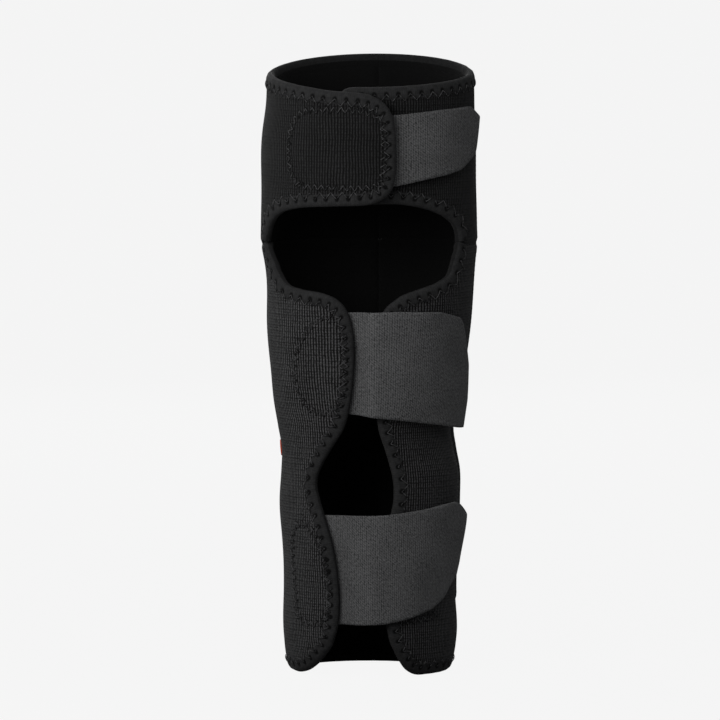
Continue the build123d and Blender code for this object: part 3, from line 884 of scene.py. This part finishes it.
pocket = palm_cloth("stay_pocket_cloth", POCKET_HALF, POCKET_LOW, POCKET_HIGH, SHADED_KNIT, 0.7)
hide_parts("stay_pocket")
track = POCKET_HALF - 1.0
corner = np.radians(np.linspace(0, 90, 8))
left_run = np.column_stack([np.full(190, track), np.linspace(POCKET_HIGH, POCKET_LOW + 4, 190)])
turn_run = np.column_stack([track - 3 + 3 * np.cos(corner), POCKET_LOW + 4 - 3 * np.sin(corner)])
foot_run = np.column_stack([np.linspace(track - 3, 0, 12), np.full(12, POCKET_LOW + 1.0)])
half_run = np.vstack([left_run, turn_run[1:], foot_run[1:]])
whole_run = np.vstack([half_run, (half_run * (-1, 1))[-2::-1]])
pocket_yarn = thread("stay_pocket_stitches", palm, seam(palm, whole_run), 0.12, GLINT_YARN)
mouth = np.column_stack([np.linspace(POCKET_HALF, -POCKET_HALF, 62), np.full(62, POCKET_HIGH + 0.6)])
hem = binding("stay_pocket_hem", palm, mouth, np.array([[0.0, 0.0]]), 4.5, 0.8)
for piece, slot in ((pocket, "knit"), (pocket_yarn, "binding"), (hem, "binding")):
    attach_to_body(piece, "sleeve")

SIDE = 114.0  # angle of the side stays
CHANNEL_HALF, CHANNEL_LOW, CHANNEL_HIGH = 10.3, 24.0, 194.0


def upright(half, low, high, side):
    """A strip's outline along a side stay, in the same turn on both sides."""
    corners = [(SIDE - half, low), (SIDE + half, low), (SIDE + half, high), (SIDE - half, high)]
    return (np.array(corners) * (side, 1))[::side]


for side, word in ((-1, "left"), (1, "right")):
    outline = upright(CHANNEL_HALF, CHANNEL_LOW, CHANNEL_HIGH, side)

    def bulge(flat):
        """Taller over the stay, and down to the skin at the sewn edges."""
        off = np.clip((CHANNEL_HALF - np.abs(np.abs(flat[:, 0]) - SIDE)) / 4.2, 0, 1)
        end = np.clip(np.minimum(flat[:, 1] - CHANNEL_LOW, CHANNEL_HIGH - flat[:, 1]) / 3.0, 0, 1)
        return 1.0 * off * off * (3 - 2 * off) * end

    tape_piece = slab(f"{word}_channel_tape", sleeve, outline, 0.25, -0.1, 1.0, CHANNEL, bulge)
    heights = np.linspace(CHANNEL_LOW + 1, CHANNEL_HIGH - 1, 170)
    edges = [np.column_stack([np.full(170, side * (SIDE + off)), heights]) for off in (-8.2, 8.2)]
    channel_yarn = thread(f"{word}_channel_stitches", sleeve, sum((seam(sleeve, e) for e in edges), []), 0.55, GLINT_YARN)
    strip = upright(5.6, CHANNEL_LOW + 2.5, CHANNEL_HIGH - 2.5, side)
    spring = slab(f"{word}_spring", sleeve, strip, 0.7, 0.1, 2.0, SPRING)
    for piece, node, slot in (
        (tape_piece, f"{word}_channel", "knit"),
        (channel_yarn, None, "binding"),
        (spring, f"{word}_side_stay", "side_stay"),
    ):
        if node:
            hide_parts(node)
        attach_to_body(piece, "sleeve")
    declare(outline)

tab_outline = np.array([(-100.5, 78.2), (-80.5, 78.2), (-79.8, 78.8), (-79.8, 83.2), (-80.5, 83.8), (-100.5, 83.8)])
tab = slab(
    "side_tab_cloth", sleeve, tab_outline, 0.3, 0.02, 0.7, TAB,
    lambda flat: 0.25 * np.sin(np.pi * np.clip((flat[:, 1] - 78.2) / 5.6, 0, 1)),
)
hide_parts("side_tab")
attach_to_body(tab, "sleeve")

for node, material in {"stay_bar": METAL, "stay_top_tip": PLASTIC, "stay_bottom_tip": PLASTIC}.items():
    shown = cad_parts[node]
    shown.data.materials.clear()
    shown.data.materials.append(material)

# --- Stage --------------------------------------------------------------------------------------------


def floor_finish():
    """A pale floor that renders one even tone and keeps a faint shadow."""
    finish = Finish("pale_floor")
    seen = finish.node("ShaderNodeLightPath").outputs["Is Camera Ray"]
    tone = (0.932, 0.932, 0.932, 1.0)
    cloth = finish.node("ShaderNodeBsdfDiffuse", inputs={"Color": (0.3, 0.3, 0.3, 1.0)}).outputs[0]
    even = finish.node("ShaderNodeEmission", inputs={"Color": tone, "Strength": 1.0}).outputs[0]
    share = Field(finish, seen) * 0.97
    both = finish.node("ShaderNodeMixShader", inputs=[share, cloth, even]).outputs[0]
    finish.node("ShaderNodeOutputMaterial", inputs=[both])
    return finish.material


bpy.ops.object.select_all(action="DESELECT")
bpy.ops.mesh.primitive_plane_add(size=60, location=(0, 0, -0.0004))
floor = bpy.context.object
floor.name = "floor"
floor.data.materials.append(floor_finish())

world = bpy.data.worlds.new("studio")
bpy.context.scene.world = world
world.use_nodes = True
tree = world.node_tree
tree.nodes.clear()
path = tree.nodes.new("ShaderNodeLightPath")
seen, room = tree.nodes.new("ShaderNodeBackground"), tree.nodes.new("ShaderNodeBackground")
seen.inputs["Color"].default_value = (0.913, 0.913, 0.913, 1.0)
room.inputs["Color"].default_value = (0.9, 0.92, 0.95, 1.0)
room.inputs["Strength"].default_value = 0.27
mixed, out = tree.nodes.new("ShaderNodeMixShader"), tree.nodes.new("ShaderNodeOutputWorld")
tree.links.new(path.outputs["Is Camera Ray"], mixed.inputs[0])
tree.links.new(room.outputs[0], mixed.inputs[1])
tree.links.new(seen.outputs[0], mixed.inputs[2])
tree.links.new(mixed.outputs[0], out.inputs[0])


def lamp(name, azimuth, elevation, strength, size, distance):
    """A square soft box that faces the splint from an azimuth and elevation."""
    data = bpy.data.lights.new(name, "AREA")
    data.energy, data.size = strength * np.pi * distance**2, size
    made = bpy.data.objects.new(name, data)
    bpy.context.scene.collection.objects.link(made)
    a, e = np.radians(azimuth), np.radians(elevation)
    back = Vector((np.sin(a) * np.cos(e), -np.cos(a) * np.cos(e), np.sin(e)))
    made.location = Vector((0, 0, 0.16)) + back * distance
    made.visible_camera = False
    made.rotation_euler = back.to_track_quat("Z", "Y").to_euler()


lamp("key", -27, 20, 3.1, 0.24, 0.34)
lamp("fill", 32, 36, 0.5, 0.4, 0.45)
lamp("left_side", -100, 15, 0.9, 0.8, 1.2)
lamp("right_side", 118, 30, 0.3, 0.8, 1.2)
lamp("behind", 195, 20, 1.7, 0.8, 1.2)

AZIMUTH, ELEVATION = np.radians(7.0), np.radians(4.5)
REACH = 3.2
VIEW_WIDTH = 0.2628
right = Vector((np.cos(AZIMUTH), np.sin(AZIMUTH), 0))
back = Vector((
    np.sin(AZIMUTH) * np.cos(ELEVATION), -np.cos(AZIMUTH) * np.cos(ELEVATION), np.sin(ELEVATION),
))
aim = Vector((0, MIDDLE * MM, 0.1133)) - right * 0.00365
camera = bpy.data.objects.new("camera", bpy.data.cameras.new("camera"))
bpy.context.scene.collection.objects.link(camera)
camera.location = aim + back * REACH
camera.rotation_euler = back.to_track_quat("Z", "Y").to_euler()
camera.data.sensor_width = 36
camera.data.lens = 36 * REACH / VIEW_WIDTH
camera.data.clip_end = 200
bpy.context.scene.camera = camera
bpy.context.scene.view_settings.view_transform = "Standard"
